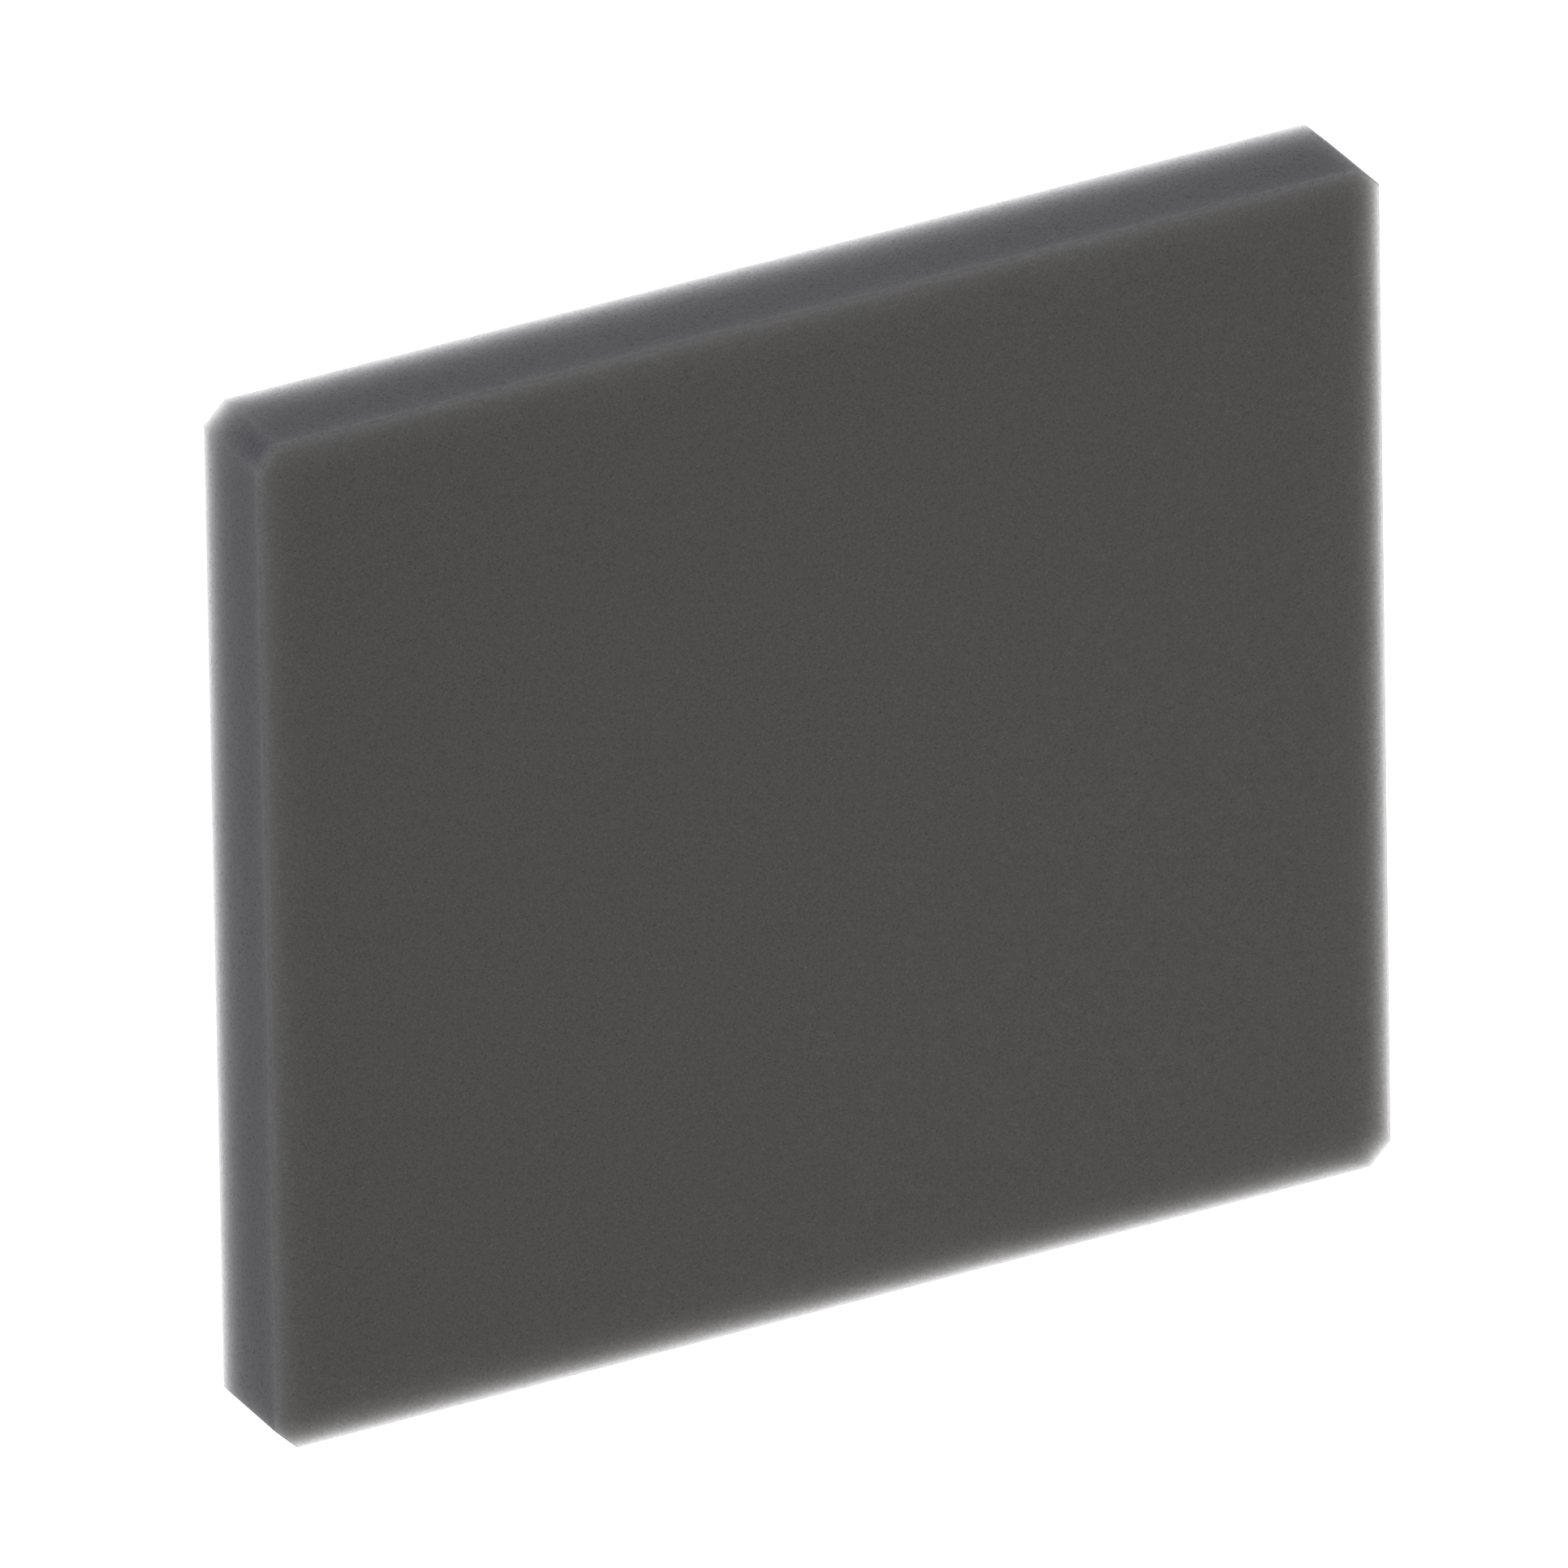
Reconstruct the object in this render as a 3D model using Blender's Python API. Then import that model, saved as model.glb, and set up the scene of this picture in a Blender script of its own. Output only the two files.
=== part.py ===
"""Granite slab for leather tooling.

One solid block of stone, sawn to a rectangle, with its four corners cut off at 45 degrees and the
arrises round its two large faces eased. It lies flat: the working face is up, the resting face is on
Z = 0, and the origin is at the middle of the resting face. X runs along the longer side.
"""

import bmesh
import bpy

# Driving dimensions, in metres.
SLAB_WIDTH = 0.3429
SLAB_DEPTH = 0.3048
SLAB_THICKNESS = 0.03175
CORNER_CUT = 0.00635
ARRIS_RADIUS = 0.0008
ARRIS_SEGMENTS = 4

# Dark grey granite, with a satin polish.
STONE_COLOUR = (0.040, 0.039, 0.037, 1.0)
STONE_ROUGHNESS = 0.35


def clear_scene():
    for obj in list(bpy.data.objects):
        bpy.data.objects.remove(obj, do_unlink=True)


def plan_outline():
    """The slab seen from above: a rectangle with a 45 degree cut across each corner, counterclockwise."""
    half_width = SLAB_WIDTH / 2
    half_depth = SLAB_DEPTH / 2
    cut_x = half_width - CORNER_CUT
    cut_y = half_depth - CORNER_CUT
    return [
        (cut_x, -half_depth),
        (half_width, -cut_y),
        (half_width, cut_y),
        (cut_x, half_depth),
        (-cut_x, half_depth),
        (-half_width, cut_y),
        (-half_width, -cut_y),
        (-cut_x, -half_depth),
    ]


def raise_block(bm):
    """Fills the outline on Z = 0 and extrudes it up to the working face."""
    corners = [bm.verts.new((x, y, 0.0)) for x, y in plan_outline()]
    resting_face = bm.faces.new(corners)
    raised = bmesh.ops.extrude_face_region(bm, geom=[resting_face], use_keep_orig=True)
    raised_corners = [item for item in raised["geom"] if isinstance(item, bmesh.types.BMVert)]
    bmesh.ops.translate(bm, verts=raised_corners, vec=(0.0, 0.0, SLAB_THICKNESS))
    bmesh.ops.recalc_face_normals(bm, faces=bm.faces)


def ease_arrises(bm):
    """Rounds the edges round the two large faces, and leaves the upright edges at the cut corners sharp."""
    rims = [edge for edge in bm.edges if edge.verts[0].co.z == edge.verts[1].co.z]
    bmesh.ops.bevel(
        bm,
        geom=rims,
        offset=ARRIS_RADIUS,
        offset_type="OFFSET",
        segments=ARRIS_SEGMENTS,
        profile=0.5,
        affect="EDGES",
        clamp_overlap=True,
    )


def stone_material():
    material = bpy.data.materials.new("dark_granite")
    material.use_nodes = True
    shader = material.node_tree.nodes["Principled BSDF"]
    shader.inputs["Base Color"].default_value = STONE_COLOUR
    shader.inputs["Roughness"].default_value = STONE_ROUGHNESS
    shader.inputs["Metallic"].default_value = 0.0
    material.diffuse_color = STONE_COLOUR
    return material


def make_granite_slab():
    mesh = bpy.data.meshes.new("granite_slab")
    bm = bmesh.new()
    raise_block(bm)
    ease_arrises(bm)
    bm.to_mesh(mesh)
    bm.free()
    mesh.materials.append(stone_material())
    slab = bpy.data.objects.new("granite_slab", mesh)
    bpy.context.scene.collection.objects.link(slab)
    return slab


clear_scene()
make_granite_slab()
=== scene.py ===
"""Granite slab for leather tooling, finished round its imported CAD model.

The slab is one block of dark fine-grained granite, lying flat with its working face up. Its surface has
four finishes: the polished large faces, the ground sides, the coarser corner cuts and the eased arrises.
"""

import math

import bpy
from mathutils import Matrix, Vector


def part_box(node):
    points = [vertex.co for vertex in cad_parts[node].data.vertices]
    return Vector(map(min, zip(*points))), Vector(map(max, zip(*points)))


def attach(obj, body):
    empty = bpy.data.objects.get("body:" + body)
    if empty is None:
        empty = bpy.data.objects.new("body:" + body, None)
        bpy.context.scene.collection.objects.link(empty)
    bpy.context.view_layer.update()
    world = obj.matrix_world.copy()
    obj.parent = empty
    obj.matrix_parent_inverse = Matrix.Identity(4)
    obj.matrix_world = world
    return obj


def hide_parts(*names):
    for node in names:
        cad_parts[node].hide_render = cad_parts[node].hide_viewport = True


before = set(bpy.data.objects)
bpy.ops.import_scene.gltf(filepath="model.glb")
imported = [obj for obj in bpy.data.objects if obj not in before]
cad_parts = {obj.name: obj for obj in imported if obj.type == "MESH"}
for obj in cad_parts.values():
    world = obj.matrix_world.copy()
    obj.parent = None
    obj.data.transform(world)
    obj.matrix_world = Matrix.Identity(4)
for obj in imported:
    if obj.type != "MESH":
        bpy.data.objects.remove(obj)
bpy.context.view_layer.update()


# ---------------------------------------------------------------------------------------------------
# The slab. It is one block of dark fine-grained granite, on which leather is tooled and punched. It is
# sawn to a rectangle, its four corners are cut off at 45 degrees, its large faces are polished, and the
# arrises round them are rubbed over by hand so that they don't cut the work or chip.
# ---------------------------------------------------------------------------------------------------

slab_low, slab_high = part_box("granite_slab")
slab_corners = [vertex.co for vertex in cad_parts["granite_slab"].data.vertices]
TOUCH = 0.000001

slab_width = slab_high.x - slab_low.x
slab_depth = slab_high.y - slab_low.y
slab_thickness = slab_high.z - slab_low.z
corner_cut = slab_high.x - max(co.x for co in slab_corners if co.y > slab_high.y - TOUCH)
arris_radius = slab_high.x - max(co.x for co in slab_corners if co.z > slab_high.z - TOUCH)


def add_node(tree, kind, **settings):
    made = tree.nodes.new(kind)
    for name, value in settings.items():
        setattr(made, name, value)
    return made


def feed(tree, socket, value):
    """Sets a socket to a plain value, or joins it to the output that value is."""
    if isinstance(value, bpy.types.NodeSocket):
        tree.links.new(value, socket)
    else:
        socket.default_value = value


def maths(tree, operation, *values):
    made = add_node(tree, "ShaderNodeMath", operation=operation)
    for socket, value in zip(made.inputs, values):
        feed(tree, socket, value)
    return made.outputs["Value"]


# The block as it comes from the saw.

LOOKS_UP_OR_DOWN = 0.999
LOOKS_ACROSS = 0.1


def build_sawing_tree():
    """Geometry Nodes that saw the block from its sizes, and say which of its faces have which finish."""
    tree = bpy.data.node_groups.new("sawn_block", "GeometryNodeTree")
    for name in ("Width", "Depth", "Thickness", "Corner Cut", "Base Height"):
        tree.interface.new_socket(name, in_out="INPUT", socket_type="NodeSocketFloat")
    for name in ("Large Face Finish", "Side Finish", "Corner Cut Finish"):
        tree.interface.new_socket(name, in_out="INPUT", socket_type="NodeSocketMaterial")
    tree.interface.new_socket("Block", in_out="OUTPUT", socket_type="NodeSocketGeometry")
    given = add_node(tree, "NodeGroupInput").outputs
    result = add_node(tree, "NodeGroupOutput").inputs

    # The outline: a rectangle with one straight cut across each corner.
    rectangle = add_node(tree, "GeometryNodeCurvePrimitiveQuadrilateral")
    feed(tree, rectangle.inputs["Width"], given["Width"])
    feed(tree, rectangle.inputs["Height"], given["Depth"])
    cut = add_node(tree, "GeometryNodeFilletCurve", mode="POLY")
    feed(tree, cut.inputs["Curve"], rectangle.outputs["Curve"])
    feed(tree, cut.inputs["Radius"], given["Corner Cut"])
    cut.inputs["Count"].default_value = 1
    outline = add_node(tree, "GeometryNodeFillCurve", mode="NGONS")
    feed(tree, outline.inputs["Curve"], cut.outputs["Curve"])

    # The outline is drawn up by the thickness, and a copy of it, looking down, closes the block.
    rise = add_node(tree, "ShaderNodeCombineXYZ")
    feed(tree, rise.inputs["Z"], given["Thickness"])
    raised = add_node(tree, "GeometryNodeExtrudeMesh", mode="FACES")
    feed(tree, raised.inputs["Mesh"], outline.outputs["Mesh"])
    feed(tree, raised.inputs["Offset"], rise.outputs["Vector"])
    raised.inputs["Individual"].default_value = False
    underside = add_node(tree, "GeometryNodeFlipFaces")
    feed(tree, underside.inputs["Mesh"], outline.outputs["Mesh"])
    both = add_node(tree, "GeometryNodeJoinGeometry")
    feed(tree, both.inputs["Geometry"], raised.outputs["Mesh"])
    feed(tree, both.inputs["Geometry"], underside.outputs["Mesh"])
    closed = add_node(tree, "GeometryNodeMergeByDistance")
    feed(tree, closed.inputs["Geometry"], both.outputs["Geometry"])
    closed.inputs["Distance"].default_value = TOUCH
    base = add_node(tree, "ShaderNodeCombineXYZ")
    feed(tree, base.inputs["Z"], given["Base Height"])
    placed = add_node(tree, "GeometryNodeTransform")
    feed(tree, placed.inputs["Geometry"], closed.outputs["Geometry"])
    feed(tree, placed.inputs["Translation"], base.outputs["Vector"])

    # The block is ground all over, then polished on its two large faces, and its corner cuts, which are
    # the faces that look along neither X nor Y nor Z, are left coarser.
    normal = add_node(tree, "ShaderNodeSeparateXYZ")
    feed(tree, normal.inputs["Vector"], add_node(tree, "GeometryNodeInputNormal").outputs["Normal"])
    level = maths(tree, "ABSOLUTE", normal.outputs["Z"])
    slant = maths(tree, "ABSOLUTE", maths(tree, "MULTIPLY", normal.outputs["X"], normal.outputs["Y"]))
    realized = add_node(tree, "GeometryNodeRealizeInstances")
    feed(tree, realized.inputs["Geometry"], placed.outputs["Geometry"])
    finished = realized.outputs["Geometry"]
    for name, chosen in (
        ("Side Finish", True),
        ("Large Face Finish", maths(tree, "GREATER_THAN", level, LOOKS_UP_OR_DOWN)),
        ("Corner Cut Finish", maths(tree, "GREATER_THAN", slant, LOOKS_ACROSS)),
    ):
        finish = add_node(tree, "GeometryNodeSetMaterial")
        feed(tree, finish.inputs["Geometry"], finished)
        feed(tree, finish.inputs["Selection"], chosen)
        feed(tree, finish.inputs["Material"], given[name])
        finished = finish.outputs["Geometry"]
    feed(tree, result["Block"], finished)
    return tree


# The stone itself, which every finish cuts through: a tight mosaic of quartz, paler feldspar and darker
# mica, with crystals well under a millimetre across.

MINERAL_GRAIN = 0.0006
FINE_GRAIN = 0.0003
GRAIN_WANDER = 0.0002
CLOUD_SIZE = 0.055
MICA_SHARE = 0.1
FELDSPAR_SHARE = 0.15
FINE_CONTRAST = 0.7
CLOUD_CONTRAST = 0.05


def new_group(name, inputs, outputs):
    """A shader node group with (name, socket type, default) inputs and (name, socket type) outputs."""
    tree = bpy.data.node_groups.new(name, "ShaderNodeTree")
    for label, kind, default in inputs:
        tree.interface.new_socket(label, in_out="INPUT", socket_type=kind).default_value = default
    for label, kind in outputs:
        tree.interface.new_socket(label, in_out="OUTPUT", socket_type=kind)
    return tree, add_node(tree, "NodeGroupInput").outputs, add_node(tree, "NodeGroupOutput").inputs


def noise(tree, place, size, detail):
    made = add_node(tree, "ShaderNodeTexNoise")
    feed(tree, made.inputs["Vector"], place)
    made.inputs["Scale"].default_value = 1 / size
    made.inputs["Detail"].default_value = detail
    return made.outputs


def grain_draw(tree, place, size):
    """A random number from 0 to 1 for each grain of this size."""
    grains = add_node(tree, "ShaderNodeTexVoronoi", feature="F1")
    feed(tree, grains.inputs["Vector"], place)
    grains.inputs["Scale"].default_value = 1 / size
    channels = add_node(tree, "ShaderNodeSeparateColor")
    feed(tree, channels.inputs["Color"], grains.outputs["Color"])
    return channels.outputs["Red"]


def build_grain_group():
    """The mosaic: its colour, where the soft mica lies, and the relief that is left between the grains."""
    tree, given, result = new_group(
        "granite_grain",
        [
            ("Body Colour", "NodeSocketColor", (0.03, 0.03, 0.03, 1.0)),
            ("Feldspar Gain", "NodeSocketFloat", 1.25),
            ("Mica Gain", "NodeSocketFloat", 0.72),
        ],
        [
            ("Colour", "NodeSocketColor"),
            ("Mica", "NodeSocketFloat"),
            ("Relief", "NodeSocketFloat"),
        ],
    )
    flat_place = add_node(tree, "ShaderNodeTexCoord").outputs["Object"]

    # The grains' borders wander, so that the mosaic shows no straight-sided cells.
    centred = add_node(tree, "ShaderNodeVectorMath", operation="SUBTRACT")
    feed(tree, centred.inputs[0], noise(tree, flat_place, MINERAL_GRAIN, detail=2.0)["Color"])
    centred.inputs[1].default_value = (0.5, 0.5, 0.5)
    wander = add_node(tree, "ShaderNodeVectorMath", operation="SCALE")
    feed(tree, wander.inputs[0], centred.outputs["Vector"])
    wander.inputs["Scale"].default_value = 2 * GRAIN_WANDER
    shifted = add_node(tree, "ShaderNodeVectorMath", operation="ADD")
    feed(tree, shifted.inputs[0], flat_place)
    feed(tree, shifted.inputs[1], wander.outputs["Vector"])
    place = shifted.outputs["Vector"]

    mineral = grain_draw(tree, place, MINERAL_GRAIN)
    mica = maths(tree, "LESS_THAN", mineral, MICA_SHARE)
    feldspar = maths(tree, "GREATER_THAN", mineral, 1 - FELDSPAR_SHARE)
    fine = grain_draw(tree, place, FINE_GRAIN)
    clouds = noise(tree, flat_place, CLOUD_SIZE, detail=3.0)["Fac"]

    # How bright each point is against the body colour.
    gain = maths(tree, "MULTIPLY_ADD", feldspar, maths(tree, "SUBTRACT", given["Feldspar Gain"], 1.0), 1.0)
    gain = maths(tree, "MULTIPLY_ADD", mica, maths(tree, "SUBTRACT", given["Mica Gain"], 1.0), gain)
    for draw, contrast in ((fine, FINE_CONTRAST), (clouds, CLOUD_CONTRAST)):
        gain = maths(tree, "MULTIPLY", gain, maths(tree, "MULTIPLY_ADD", draw, contrast, 1 - contrast / 2))
    shade = add_node(tree, "ShaderNodeVectorMath", operation="SCALE")
    feed(tree, shade.inputs[0], given["Body Colour"])
    feed(tree, shade.inputs["Scale"], gain)

    feed(tree, result["Colour"], shade.outputs["Vector"])
    feed(tree, result["Mica"], mica)
    feed(tree, result["Relief"], maths(tree, "SUBTRACT", fine, mica))
    return tree


# The arrises are painted paler, palest on an arris and fading back into the finish a few millimetres away.
# This is partly the wear of rubbing and partly painted light: a glow standing in for light that shines
# through the thin edges. The reach varies along the arrises.

GLOW_AND_WEAR_REACH = 0.0045
PRESSURE_SPAN = 0.017
PRESSURE_CHANGE = 0.4
UPRIGHT_SETBACK = 0.0022


def hypotenuse(tree, first, second):
    squares = [maths(tree, "MULTIPLY", side, side) for side in (first, second)]
    return maths(tree, "SQRT", maths(tree, "ADD", *squares))


def build_glow_and_wear_group():
    """A mask that is 1 on the sharp line that a long arris would have, and falls off away from it. It marks
    where the arrises are painted paler, partly as wear and partly as painted light glowing through the
    edges.
    """
    tree, given, result = new_group(
        "arris_bruise",
        [("Reach", "NodeSocketFloat", GLOW_AND_WEAR_REACH)],
        [("Mask", "NodeSocketFloat")],
    )
    place = add_node(tree, "ShaderNodeTexCoord").outputs["Object"]
    axes = add_node(tree, "ShaderNodeSeparateXYZ")
    feed(tree, axes.inputs["Vector"], place)
    across = maths(tree, "ABSOLUTE", axes.outputs["X"])
    along = maths(tree, "ABSOLUTE", axes.outputs["Y"])

    # How far inside the outline the point is: from the nearest side, or from the nearest corner cut.
    from_ends = maths(tree, "SUBTRACT", slab_width / 2, across)
    from_sides = maths(tree, "SUBTRACT", slab_depth / 2, along)
    reach_of_cuts = (slab_width + slab_depth) / 2 - corner_cut
    past_cuts = maths(tree, "SUBTRACT", reach_of_cuts, maths(tree, "ADD", across, along))
    from_cuts = maths(tree, "DIVIDE", past_cuts, math.sqrt(2))
    from_straights = maths(tree, "MINIMUM", from_ends, from_sides)
    inwards = maths(tree, "MAXIMUM", maths(tree, "MINIMUM", from_straights, from_cuts), 0.0)

    # How far it is from the nearer of the two large faces.
    above_base = maths(tree, "SUBTRACT", axes.outputs["Z"], slab_low.z)
    below_top = maths(tree, "SUBTRACT", slab_high.z, axes.outputs["Z"])
    depth = maths(tree, "MAXIMUM", maths(tree, "MINIMUM", above_base, below_top), 0.0)

    # An upright arris is where a corner cut meets a side. They meet at 135 degrees, so a point on one is
    # the square root of 2 times as far from the arris as it is from the other. The upright arrises get less
    # of the painted glow and wear than the long ones, so they are only as pale as the stone at the setback
    # from those.
    from_other = hypotenuse(tree, from_straights, from_cuts)
    from_upright = maths(tree, "MULTIPLY_ADD", from_other, math.sqrt(2), UPRIGHT_SETBACK)
    distance = maths(tree, "MINIMUM", hypotenuse(tree, inwards, depth), from_upright)
    pressure = noise(tree, place, PRESSURE_SPAN, detail=3.0)["Fac"]
    press = maths(tree, "MULTIPLY_ADD", pressure, 2 * PRESSURE_CHANGE, 1 - PRESSURE_CHANGE)
    reach = maths(tree, "MULTIPLY", given["Reach"], press)
    fall = maths(tree, "DIVIDE", distance, reach)
    feed(tree, result["Mask"], maths(tree, "EXPONENT", maths(tree, "MULTIPLY", fall, -1.0)))
    return tree


# The finishes. Light enters the quartz and comes out a little way off, so that the stone is faintly
# translucent along its edges. Polished stone is warm and glossy, and ground stone is greyer and duller.

STONE_IOR = 1.5

grain_group = build_grain_group()
glow_and_wear_group = build_glow_and_wear_group()


def stone_finish(
    name,
    colour,
    feldspar_gain,
    mica_gain,
    glow_and_wear_colour,
    glow_and_wear_share,
    light_depth,
    roughness,
    mica_roughness,
    gloss,
    relief,
):
    """A finish. Where the arris mask is whole, its colour goes the share glow_and_wear_share of the way to
    glow_and_wear_colour, the paler arris that is partly wear and partly painted light. In metres,
    light_depth is how far red, green and blue light would reach in it if it weren't so dark, which leaves
    them a few millimetres, and relief is how deep its grains stand."""
    material = bpy.data.materials.new(name)
    material.use_nodes = True
    tree = material.node_tree
    shader = tree.nodes["Principled BSDF"]

    grain = add_node(tree, "ShaderNodeGroup", node_tree=grain_group)
    grain.inputs["Body Colour"].default_value = colour
    grain.inputs["Feldspar Gain"].default_value = feldspar_gain
    grain.inputs["Mica Gain"].default_value = mica_gain
    # The arris mask paints the arrises paler: partly wear, and partly painted light glowing through the
    # edges.
    glow_and_wear_mask = add_node(tree, "ShaderNodeGroup", node_tree=glow_and_wear_group)
    paled = add_node(tree, "ShaderNodeMix", data_type="RGBA")
    feed(tree, paled.inputs["Factor"], maths(tree, "MULTIPLY", glow_and_wear_mask.outputs["Mask"], glow_and_wear_share))
    feed(tree, paled.inputs["A"], grain.outputs["Colour"])
    feed(tree, paled.inputs["B"], glow_and_wear_colour)
    feed(tree, shader.inputs["Base Color"], paled.outputs["Result"])
    dulled = maths(tree, "MULTIPLY_ADD", grain.outputs["Mica"], mica_roughness, roughness)
    feed(tree, shader.inputs["Roughness"], dulled)
    bump = add_node(tree, "ShaderNodeBump")
    bump.inputs["Distance"].default_value = relief
    feed(tree, bump.inputs["Height"], grain.outputs["Relief"])
    feed(tree, shader.inputs["Normal"], bump.outputs["Normal"])

    shader.subsurface_method = "RANDOM_WALK"
    shader.inputs["Subsurface Weight"].default_value = 1.0
    shader.inputs["Subsurface Radius"].default_value = light_depth
    shader.inputs["Subsurface Scale"].default_value = 1.0
    shader.inputs["IOR"].default_value = STONE_IOR
    shader.inputs["Specular IOR Level"].default_value = gloss
    return material


# Each finish paints its arrises paler towards a lighter colour, partly as wear and partly as painted light
# glowing through the edges.
polished_finish = stone_finish(
    "polished_face",
    colour=(0.034, 0.032, 0.028, 1.0),
    feldspar_gain=1.25,
    mica_gain=0.78,
    glow_and_wear_colour=(0.147, 0.156, 0.186, 1.0),
    glow_and_wear_share=0.17,
    light_depth=(0.074, 0.074, 0.0735),
    roughness=0.36,
    mica_roughness=0.12,
    gloss=0.5,
    relief=0.000003,
)
ground_finish = stone_finish(
    "ground_side",
    colour=(0.0352, 0.0349, 0.0394, 1.0),
    feldspar_gain=1.12,
    mica_gain=0.85,
    glow_and_wear_colour=(0.157, 0.156, 0.170, 1.0),
    glow_and_wear_share=0.12,
    light_depth=(0.064, 0.064, 0.0618),
    roughness=0.55,
    mica_roughness=0.1,
    gloss=0.3,
    relief=0.000006,
)
cut_finish = stone_finish(
    "ground_corner_cut",
    colour=(0.0385, 0.0375, 0.0465, 1.0),
    feldspar_gain=1.12,
    mica_gain=0.85,
    glow_and_wear_colour=(0.170, 0.168, 0.166, 1.0),
    glow_and_wear_share=0.19,
    light_depth=(0.064, 0.064, 0.0618),
    roughness=0.6,
    mica_roughness=0.1,
    gloss=0.3,
    relief=0.000008,
)
eased_finish = stone_finish(
    "eased_arris",
    colour=(0.042, 0.0415, 0.0425, 1.0),
    feldspar_gain=1.12,
    mica_gain=0.85,
    glow_and_wear_colour=(0.157, 0.156, 0.170, 1.0),
    glow_and_wear_share=0.05,
    light_depth=(0.1, 0.1, 0.1),
    roughness=0.5,
    mica_roughness=0.1,
    gloss=0.4,
    relief=0.000006,
)

# The grinding wheel runs along each side, and leaves fine marks that are long and low.

MARK_LENGTH = 0.03
MARK_HEIGHT = 0.0005
MARK_DEPTH = 0.000008


def add_grinding_marks(material):
    tree = material.node_tree
    normal = tree.nodes["Principled BSDF"].inputs["Normal"]
    stretched = add_node(tree, "ShaderNodeMapping")
    feed(tree, stretched.inputs["Vector"], add_node(tree, "ShaderNodeTexCoord").outputs["Object"])
    stretched.inputs["Scale"].default_value = (1.0, 1.0, MARK_LENGTH / MARK_HEIGHT)
    marks = add_node(tree, "ShaderNodeBump")
    marks.inputs["Distance"].default_value = MARK_DEPTH
    height = noise(tree, stretched.outputs["Vector"], MARK_LENGTH, detail=2.0)["Fac"]
    feed(tree, marks.inputs["Height"], height)
    feed(tree, marks.inputs["Normal"], normal.links[0].from_socket)
    feed(tree, normal, marks.outputs["Normal"])


add_grinding_marks(ground_finish)
add_grinding_marks(cut_finish)

# The finished block.

ARRIS_STEPS = 6
ARRIS_ANGLE = math.radians(60)
CREASE_ANGLE = math.radians(30)


def set_inputs(modifier, **values):
    """Sets the inputs of a Geometry Nodes modifier. Each is named as in its tree, but in small letters and
    with _ for a space."""
    for socket in modifier.node_group.interface.items_tree:
        name = socket.name.lower().replace(" ", "_")
        if name in values:
            modifier[socket.identifier] = values[name]


def make_slab():
    draft = bpy.data.objects.new("slab_draft", bpy.data.meshes.new("slab_draft"))
    bpy.context.scene.collection.objects.link(draft)
    sawing = draft.modifiers.new("sawing", "NODES")
    sawing.node_group = build_sawing_tree()
    set_inputs(
        sawing,
        width=slab_width,
        depth=slab_depth,
        thickness=slab_thickness,
        corner_cut=corner_cut,
        base_height=slab_low.z,
        large_face_finish=polished_finish,
        side_finish=ground_finish,
        corner_cut_finish=cut_finish,
    )
    easing = draft.modifiers.new("easing", "BEVEL")
    easing.limit_method = "ANGLE"
    easing.angle_limit = ARRIS_ANGLE
    easing.width = arris_radius
    easing.segments = ARRIS_STEPS
    depsgraph = bpy.context.evaluated_depsgraph_get()
    mesh = bpy.data.meshes.new_from_object(draft.evaluated_get(depsgraph))
    bpy.data.objects.remove(draft)

    mesh.name = "slab_stone"
    mesh.materials.append(eased_finish)
    for face in mesh.polygons:
        if 1 - LOOKS_UP_OR_DOWN < abs(face.normal.z) < LOOKS_UP_OR_DOWN:
            face.material_index = len(mesh.materials) - 1
    mesh.shade_smooth()
    mesh.set_sharp_from_angle(angle=CREASE_ANGLE)
    slab = bpy.data.objects.new("slab_stone", mesh)
    bpy.context.scene.collection.objects.link(slab)
    return slab


slab_stone = make_slab()
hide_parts("granite_slab")
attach(slab_stone, "root")


# ---------------------------------------------------------------------------------------------------
# The studio. The slab lies on a wide pale table that is lit from within, under an even white sky, so
# that the light is as soft from below as from above and the table is as white as the sky.
# ---------------------------------------------------------------------------------------------------

TABLE_REACH = 8.0
TABLE_GAP = 0.0003
TABLE_GLOW = 1.15
TABLE_PALENESS = 0.1


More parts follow.
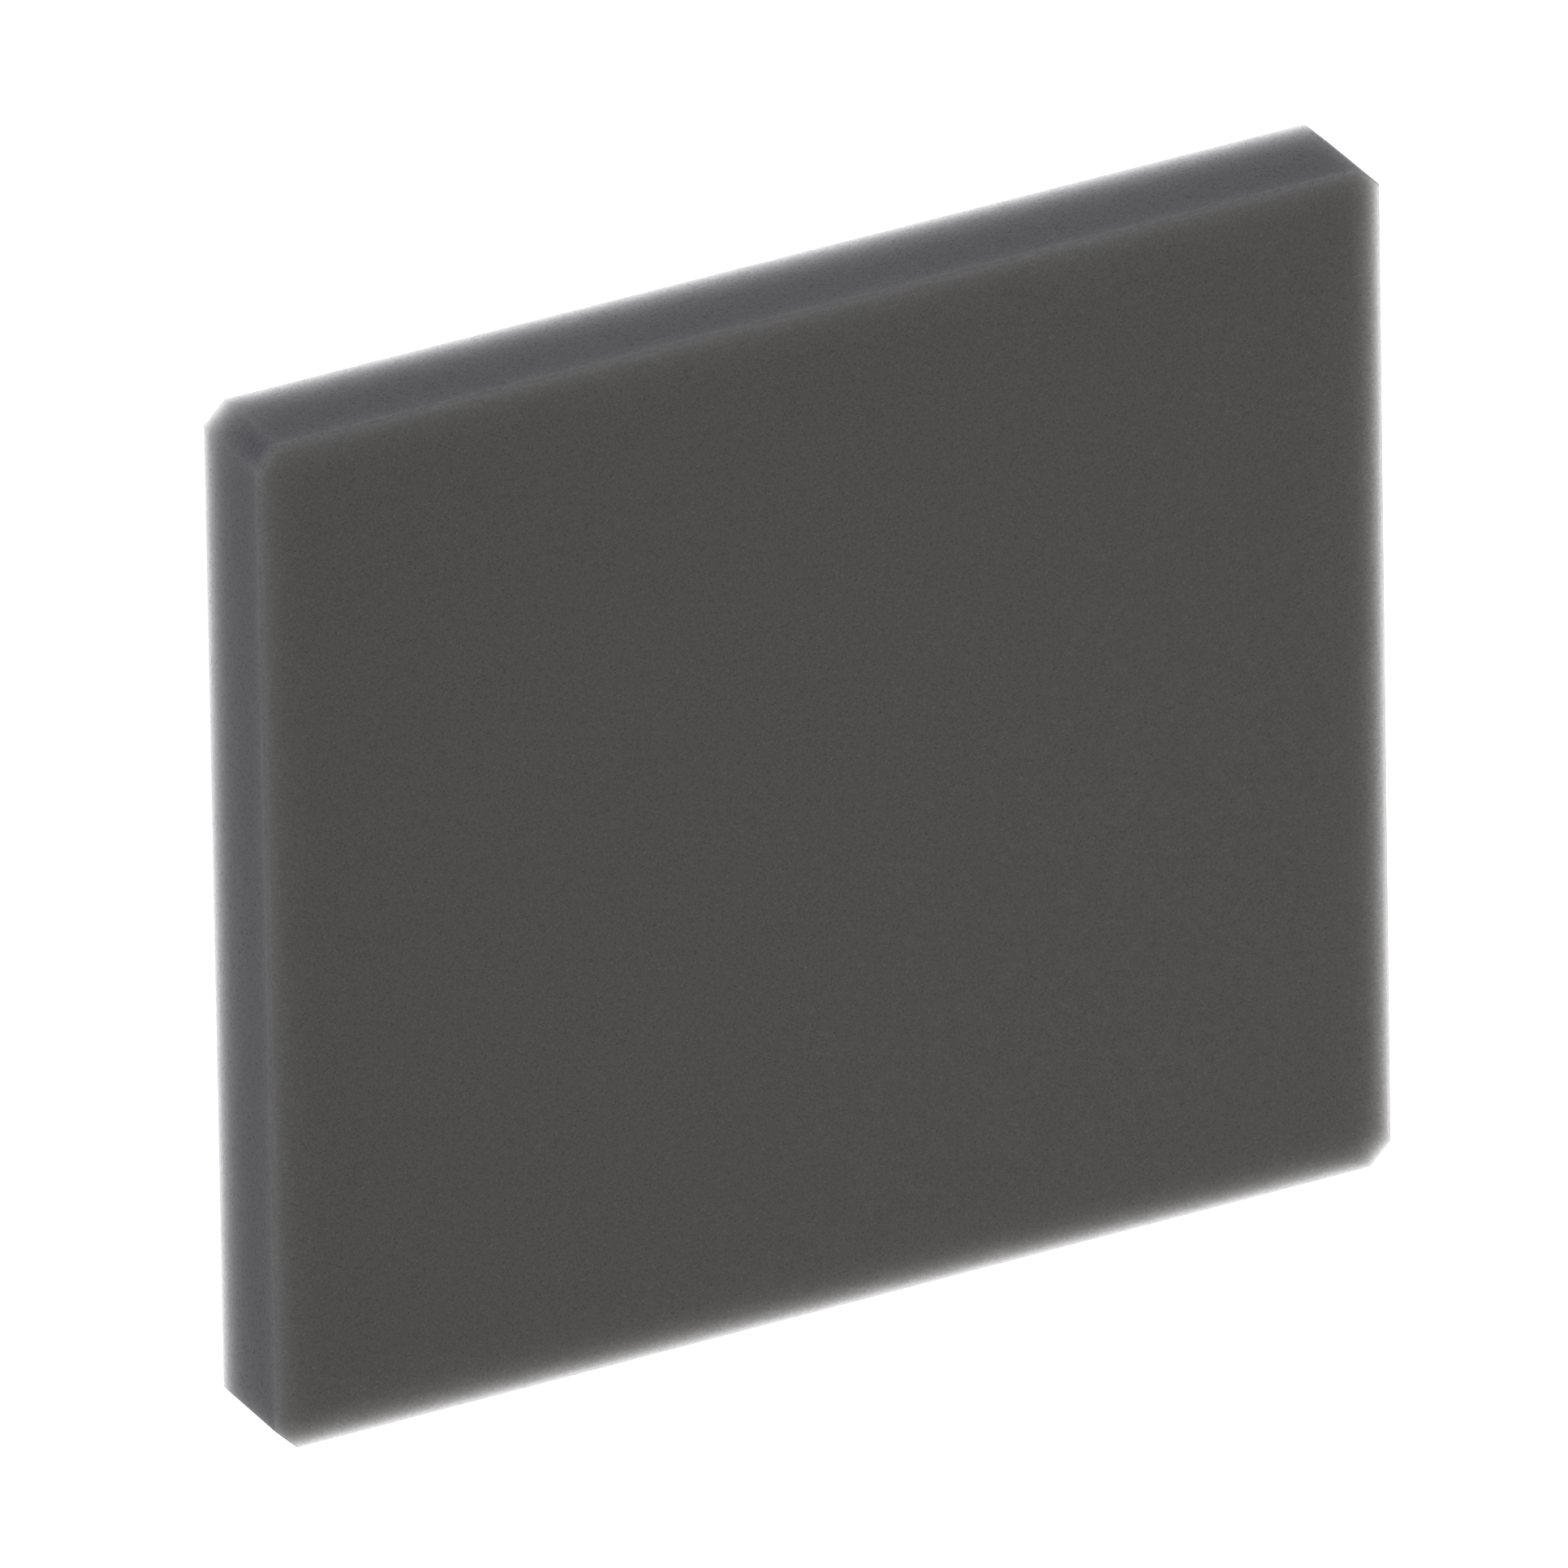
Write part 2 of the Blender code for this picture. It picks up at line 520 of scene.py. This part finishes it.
def make_table():
    height = slab_low.z - TABLE_GAP
    corners = [
        (-TABLE_REACH, -TABLE_REACH, height),
        (TABLE_REACH, -TABLE_REACH, height),
        (TABLE_REACH, TABLE_REACH, height),
        (-TABLE_REACH, TABLE_REACH, height),
    ]
    mesh = bpy.data.meshes.new("table_top")
    mesh.from_pydata(corners, [], [(0, 1, 2, 3)])
    material = bpy.data.materials.new("lit_table")
    material.use_nodes = True
    shader = material.node_tree.nodes["Principled BSDF"]
    shader.inputs["Base Color"].default_value = (TABLE_PALENESS, TABLE_PALENESS, TABLE_PALENESS, 1.0)
    shader.inputs["Roughness"].default_value = 1.0
    shader.inputs["Specular IOR Level"].default_value = 0.0
    shader.inputs["Emission Color"].default_value = (1.0, 1.0, 1.0, 1.0)
    shader.inputs["Emission Strength"].default_value = TABLE_GLOW
    mesh.materials.append(material)
    table = bpy.data.objects.new("table_top", mesh)
    bpy.context.scene.collection.objects.link(table)
    return table


make_table()

sky = bpy.data.worlds.new("white_sky")
sky.use_nodes = True
sky.node_tree.nodes["Background"].inputs["Color"].default_value = (1.0, 1.0, 1.0, 1.0)
sky.node_tree.nodes["Background"].inputs["Strength"].default_value = 1.0
bpy.context.scene.world = sky
bpy.context.scene.view_settings.view_transform = "Standard"


# ---------------------------------------------------------------------------------------------------
# The camera. It shows the slab as if it stood on its long side with its working face to the front. The
# angles are those of that upright view, and the camera is laid down with the slab. Its very long lens
# keeps the slab's opposite edges parallel.
# ---------------------------------------------------------------------------------------------------

VIEW_AZIMUTH = math.radians(-27.63)
VIEW_ELEVATION = math.radians(27.38)
VIEW_ROLL = math.radians(-0.945)
VIEW_WIDTH = 0.42417
VIEW_MIDDLE = Vector((-0.0046, 0.0004, 0.0))
LENS = 1600.0
FAR_CLIP = 60.0


def make_camera():
    camera = bpy.data.objects.new("camera", bpy.data.cameras.new("camera"))
    bpy.context.scene.collection.objects.link(camera)
    camera.data.lens = LENS
    camera.data.clip_end = FAR_CLIP
    distance = VIEW_WIDTH * LENS / camera.data.sensor_width
    slab_middle = Matrix.Translation((slab_low + slab_high) / 2)
    laid_down = Matrix.Rotation(-math.pi / 2, 4, "X")
    turned = Matrix.Rotation(VIEW_AZIMUTH, 4, "Z")
    tilted = Matrix.Rotation(math.pi / 2 - VIEW_ELEVATION, 4, "X")
    rolled = Matrix.Rotation(VIEW_ROLL, 4, "Z")
    backed_off = Matrix.Translation(VIEW_MIDDLE + Vector((0.0, 0.0, distance)))
    camera.matrix_world = slab_middle @ laid_down @ turned @ tilted @ rolled @ backed_off
    return camera


bpy.context.scene.camera = make_camera()
